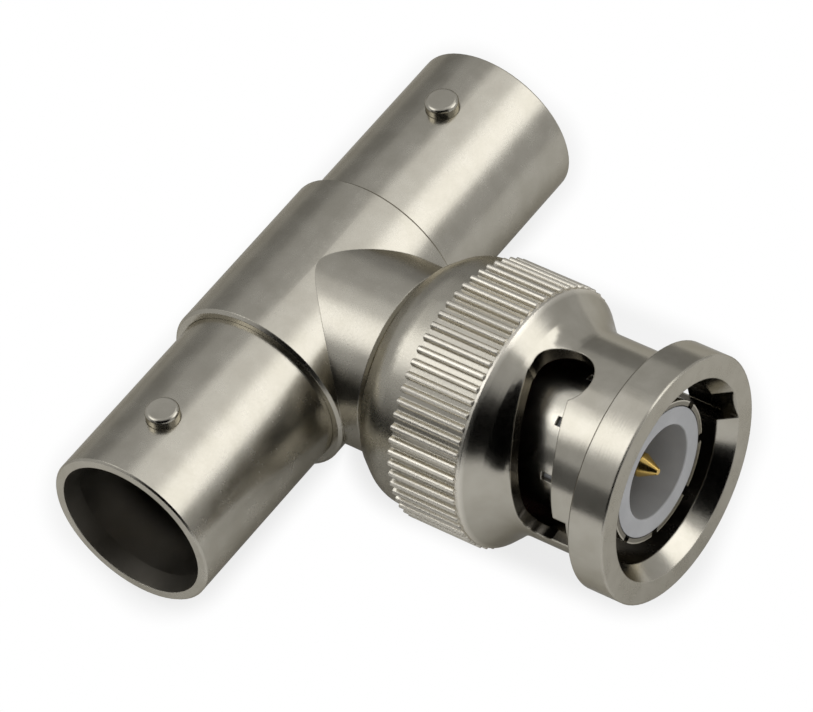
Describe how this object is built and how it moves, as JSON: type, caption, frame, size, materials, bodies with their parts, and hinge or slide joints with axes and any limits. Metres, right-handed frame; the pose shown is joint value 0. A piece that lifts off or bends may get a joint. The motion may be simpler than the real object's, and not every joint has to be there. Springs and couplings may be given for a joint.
{
  "type": "coaxial tee adapter",
  "caption": "Bayonet-lock coaxial splitter: a satin nickel T body with a plug behind a knurled, J-slotted coupling nut and a studded socket at each end of its crossbar.",
  "frame": {"origin": "where the axis through both jacks crosses the axis of the plug", "axes": "+X along the plug, out of its coupling nut; +Y along the far jack, -Y along the near jack; +Z square to the tee, along the bayonet studs"},
  "size_m": [0.0283, 0.0334, 0.0146],
  "materials": {
    "nickel": "satin nickel plate over turned brass",
    "gold": "thin gold plate",
    "raw_brass": "machined",
    "white_plastic": "smooth fluoropolymer",
    "seal_rubber": "moulded silicone",
    "spring_steel": "bright rolled strip"
  },
  "bodies": {
    "tee": {"tee_body": "nickel", "plug_shell": "nickel", "near_jack_shell": "nickel", "far_jack_shell": "nickel", "near_upper_stud": "nickel", "near_lower_stud": "nickel", "far_upper_stud": "nickel", "far_lower_stud": "nickel", "near_jack_insulator": "white_plastic", "far_jack_insulator": "white_plastic", "near_socket_contact": "gold", "far_socket_contact": "gold", "junction_block": "raw_brass", "plug_pin": "gold", "support_bead": "white_plastic", "plug_sleeve": "white_plastic", "sealing_ring": "seal_rubber", "rear_wave_washer": "spring_steel", "front_wave_washer": "spring_steel"},
    "washer": {"thrust_washer": "spring_steel"},
    "nut": {"coupling_nut": "nickel"}
  },
  "joints": [
    {"name": "nut_slide", "type": "slide", "parent": "tee", "child": "washer", "axis": [1, 0, 0], "range_m": [0, 0.0005], "stiffness_N_per_m": 4000, "deforming": ["rear_wave_washer", "front_wave_washer"]},
    {"name": "nut_spin", "type": "hinge", "parent": "washer", "child": "nut", "pos_m": [0.008, 0, 0], "axis": [1, 0, 0], "continuous": true}
  ]
}
